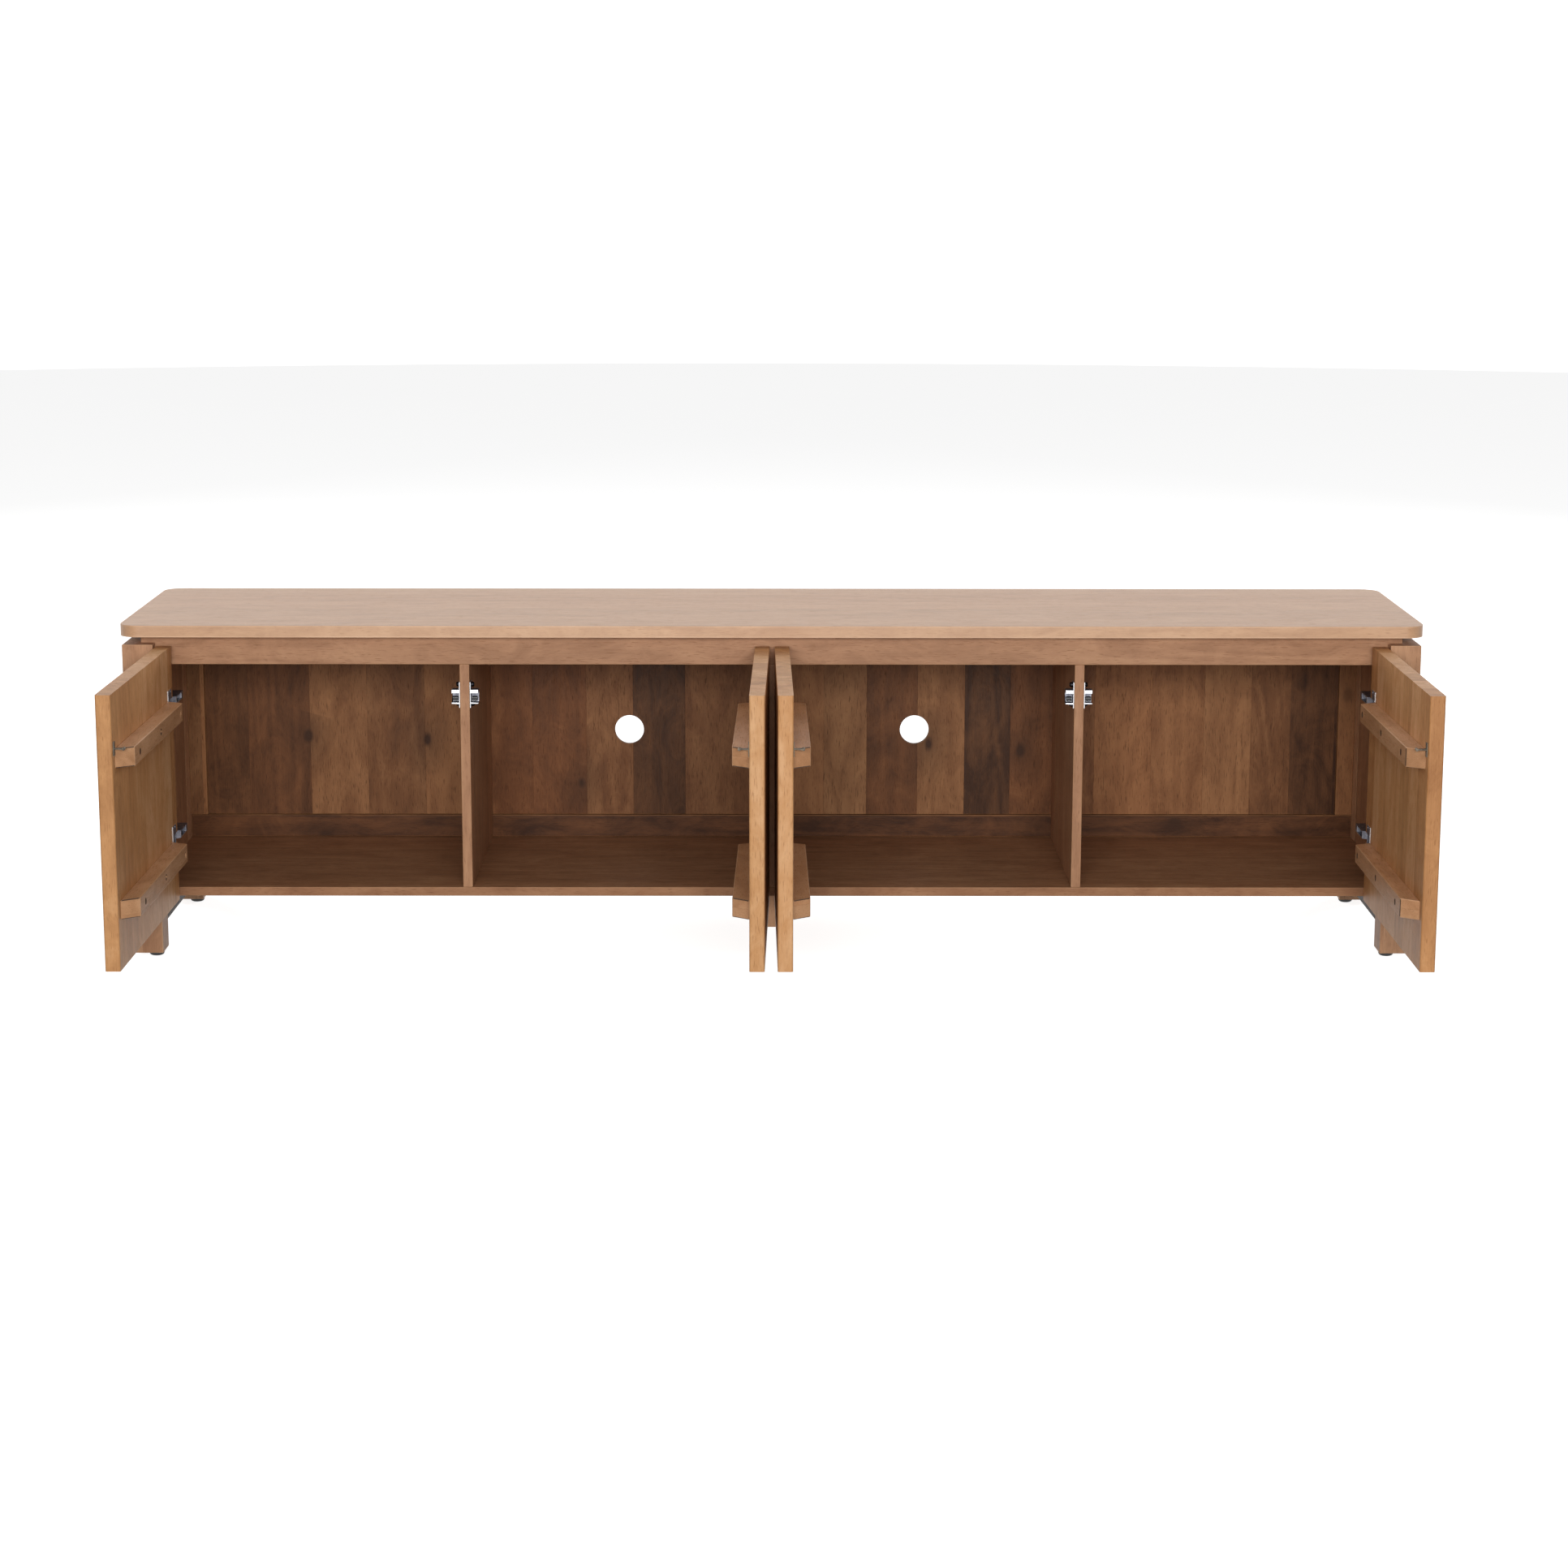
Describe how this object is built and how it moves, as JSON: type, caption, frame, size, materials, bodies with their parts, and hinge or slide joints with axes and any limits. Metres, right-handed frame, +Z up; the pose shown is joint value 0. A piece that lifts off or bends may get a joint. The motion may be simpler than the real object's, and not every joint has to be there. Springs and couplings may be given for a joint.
{
  "type": "tv stand with doors",
  "caption": "Long low solid wood TV console: floating top with rounded corners, overlay doors on concealed hinges hanging open, battens inside, divided case with cable holes, block legs.",
  "frame": {"origin": "on the floor under the middle of the centre leg, which is the middle of the top's footprint", "axes": "+X to the right seen from the front, front faces -Y, +Z up"},
  "size_m": [2, 0.8896, 0.52],
  "materials": {
    "wood_top": "satin",
    "wood_case": "satin",
    "wood_leg": "satin",
    "wood_rail": "matte",
    "wood_back": "satin",
    "wood_door": "satin",
    "wood_batten": "satin",
    "zinc": "zinc plated",
    "steel_dark": "dark plated",
    "glide_black": "matte",
    "roller_black": "matte"
  },
  "bodies": {
    "case": {"top_panel": "wood_top", "front_apron": "wood_case", "rear_apron": "wood_case", "side_apron_left": "wood_case", "side_apron_right": "wood_case", "bottom_panel": "wood_case", "lower_rails": "wood_rail", "side_panel_left": "wood_case", "side_panel_right": "wood_case", "divider_left": "wood_case", "divider_centre": "wood_case", "divider_right": "wood_case", "back_rail": "wood_back", "back_stiles": "wood_back", "back_panel_1": "wood_back", "back_panel_2": "wood_back", "back_panel_3": "wood_back", "back_panel_4": "wood_back", "leg_front_left": "wood_leg", "leg_front_right": "wood_leg", "leg_rear_left": "wood_leg", "leg_rear_right": "wood_leg", "centre_leg": "wood_leg", "glides": "glide_black", "hinge_blocks": "wood_case", "hinge_plates": "zinc", "hinge_arms": "zinc", "catch_1": "zinc", "catch_2": "zinc", "catch_3": "zinc", "catch_4": "zinc"},
    "door_1": {"door_panel_1": "wood_door", "upper_batten_1": "wood_batten", "lower_batten_1": "wood_batten", "batten_screws_1": "steel_dark", "hinge_cups_1": "zinc", "strike_1": "zinc"},
    "door_2": {"door_panel_2": "wood_door", "upper_batten_2": "wood_batten", "lower_batten_2": "wood_batten", "batten_screws_2": "steel_dark", "hinge_cups_2": "zinc", "strike_2": "zinc"},
    "door_3": {"door_panel_3": "wood_door", "upper_batten_3": "wood_batten", "lower_batten_3": "wood_batten", "batten_screws_3": "steel_dark", "hinge_cups_3": "zinc", "strike_3": "zinc"},
    "door_4": {"door_panel_4": "wood_door", "upper_batten_4": "wood_batten", "lower_batten_4": "wood_batten", "batten_screws_4": "steel_dark", "hinge_cups_4": "zinc", "strike_4": "zinc"},
    "roller_carrier_1": {"roller_1": "roller_black"},
    "roller_carrier_2": {"roller_2": "roller_black"},
    "roller_carrier_3": {"roller_3": "roller_black"},
    "roller_carrier_4": {"roller_4": "roller_black"}
  },
  "joints": [
    {"name": "door_1_swing", "type": "hinge", "parent": "case", "child": "door_1", "pos_m": [-0.937, -0.208, 0.287], "axis": [0, 0, 1], "range_deg": [-9.5, 90.5]},
    {"name": "door_2_swing", "type": "hinge", "parent": "case", "child": "door_2", "pos_m": [-0.011, -0.208, 0.287], "axis": [0, 0, 1], "range_deg": [-89.2, 0.8]},
    {"name": "door_3_swing", "type": "hinge", "parent": "case", "child": "door_3", "pos_m": [0.011, -0.208, 0.287], "axis": [0, 0, 1], "range_deg": [-0.5, 89.5]},
    {"name": "door_4_swing", "type": "hinge", "parent": "case", "child": "door_4", "pos_m": [0.937, -0.208, 0.287], "axis": [0, 0, 1], "range_deg": [-90, 10]},
    {"name": "roller_1_sink", "type": "slide", "parent": "case", "child": "roller_carrier_1", "axis": [0, 0, -1], "range_m": [0, 0.002], "stiffness_N_per_m": 500, "springref_m": -0.001},
    {"name": "roller_2_sink", "type": "slide", "parent": "case", "child": "roller_carrier_2", "axis": [0, 0, -1], "range_m": [0, 0.002], "stiffness_N_per_m": 500, "springref_m": -0.001},
    {"name": "roller_3_sink", "type": "slide", "parent": "case", "child": "roller_carrier_3", "axis": [0, 0, -1], "range_m": [0, 0.002], "stiffness_N_per_m": 500, "springref_m": -0.001},
    {"name": "roller_4_sink", "type": "slide", "parent": "case", "child": "roller_carrier_4", "axis": [0, 0, -1], "range_m": [0, 0.002], "stiffness_N_per_m": 500, "springref_m": -0.001}
  ]
}
